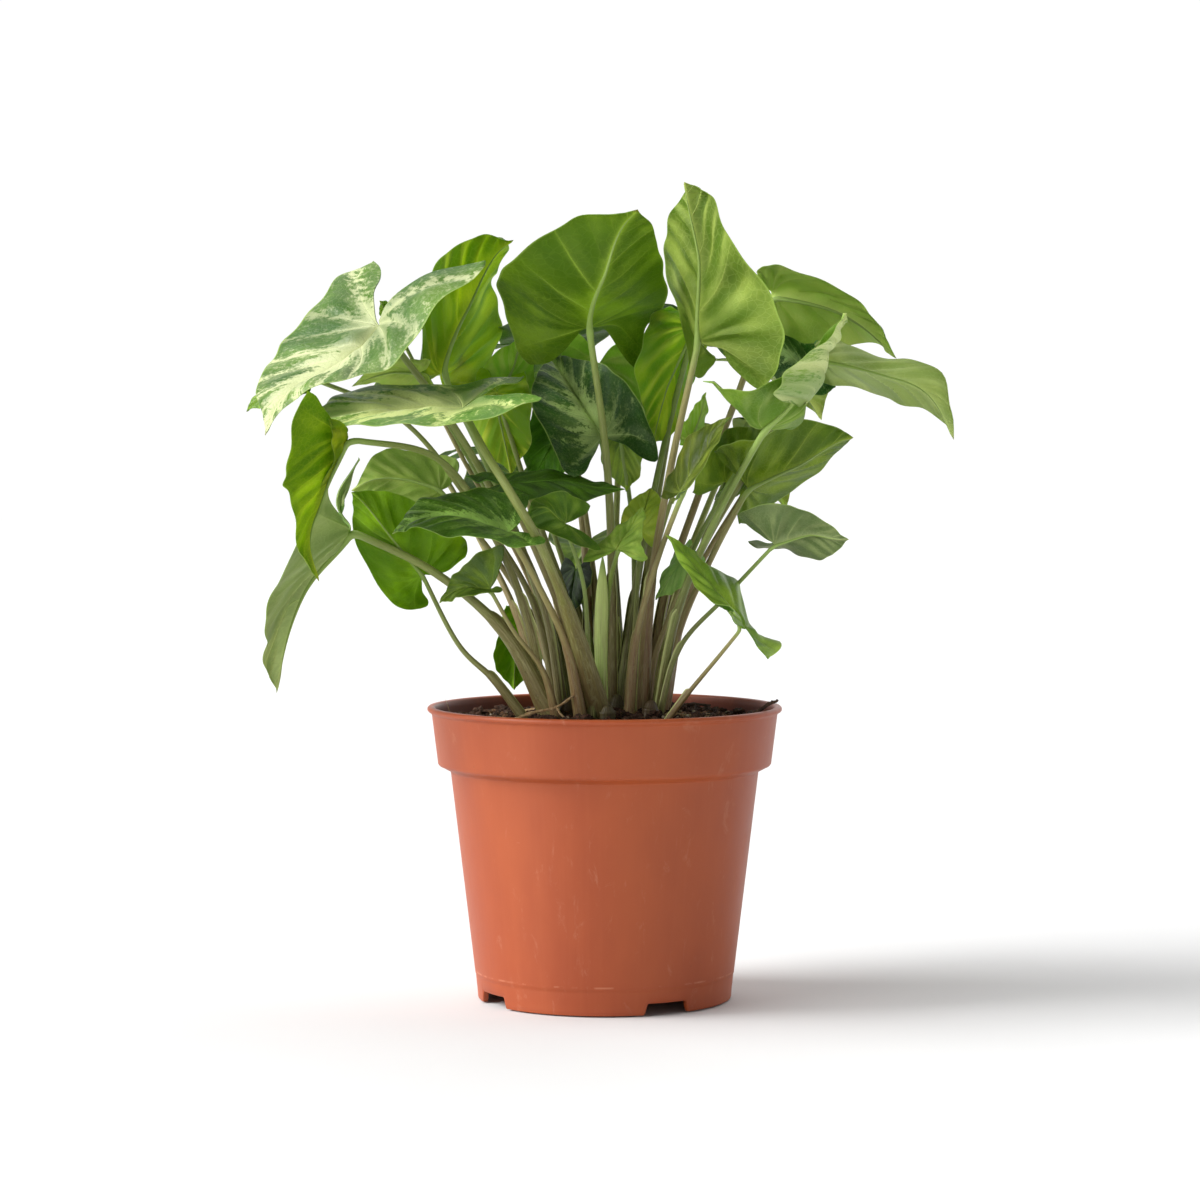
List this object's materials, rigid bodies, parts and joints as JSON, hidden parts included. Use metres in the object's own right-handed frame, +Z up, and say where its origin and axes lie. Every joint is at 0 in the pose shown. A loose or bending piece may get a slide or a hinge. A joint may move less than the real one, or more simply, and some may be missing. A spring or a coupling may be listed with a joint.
{
  "type": "potted syngonium",
  "caption": "Arrowhead house plant with variegated arrow-shaped leaves on long stalks, growing from soil in a tapered terracotta-coloured plastic nursery pot.",
  "frame": {"origin": "middle of the pot's underside, on the ground", "axes": "+Z up along the pot's axis; front of the plant towards -Y; +X to the right seen from the front"},
  "size_m": [0.2389, 0.1811, 0.2736],
  "materials": {
    "pot_terracotta": "satin",
    "potting_soil": "matte",
    "stem_sheath": "satin",
    "root": "matte",
    "new_leaf_green": "satin",
    "leaf_cream": "satin",
    "leaf_lime": "satin",
    "leaf_pale": "satin",
    "leaf_grey_green": "satin",
    "leaf_mid": "satin",
    "leaf_dark": "satin"
  },
  "bodies": {
    "root": {"leaf_01": "leaf_cream", "leaf_02": "leaf_lime", "leaf_03": "leaf_cream", "leaf_04": "leaf_lime", "leaf_05": "leaf_grey_green", "leaf_06": "leaf_pale", "leaf_07": "leaf_mid", "leaf_08": "leaf_dark", "leaf_09": "leaf_dark", "leaf_10": "leaf_mid", "leaf_11": "leaf_lime", "leaf_12": "leaf_mid", "leaf_13": "leaf_mid", "leaf_14": "leaf_mid", "leaf_15": "leaf_lime", "leaf_16": "leaf_lime", "leaf_17": "leaf_dark", "leaf_18": "leaf_dark", "leaf_19": "leaf_lime", "leaf_20": "leaf_mid", "leaf_21": "leaf_pale", "leaf_22": "leaf_grey_green", "leaf_23": "leaf_cream", "leaf_24": "leaf_dark", "leaf_25": "leaf_mid", "leaf_26": "leaf_dark", "leaf_27": "leaf_mid", "leaf_28": "leaf_lime", "leaf_29": "leaf_mid", "leaf_30": "leaf_mid", "leaf_31": "leaf_mid", "leaf_32": "leaf_pale", "leaf_33": "leaf_lime", "leaf_34": "leaf_mid", "leaf_35": "leaf_dark", "leaf_36": "leaf_mid", "leaf_37": "leaf_lime", "leaf_38": "leaf_mid", "leaf_39": "leaf_mid", "leaf_40": "leaf_dark", "leaf_41": "leaf_mid", "leaf_42": "leaf_dark", "leaf_43": "leaf_mid", "leaf_44": "leaf_mid", "leaf_45": "leaf_dark", "leaf_46": "leaf_mid", "leaf_47": "leaf_mid", "new_leaf": "new_leaf_green", "pot": "pot_terracotta", "soil": "potting_soil", "stem_01": "stem_sheath", "stem_02": "stem_sheath", "stem_03": "stem_sheath", "stem_04": "stem_sheath", "stem_05": "stem_sheath", "stem_06": "stem_sheath", "root_01": "root", "root_02": "root"}
  },
  "joints": []
}
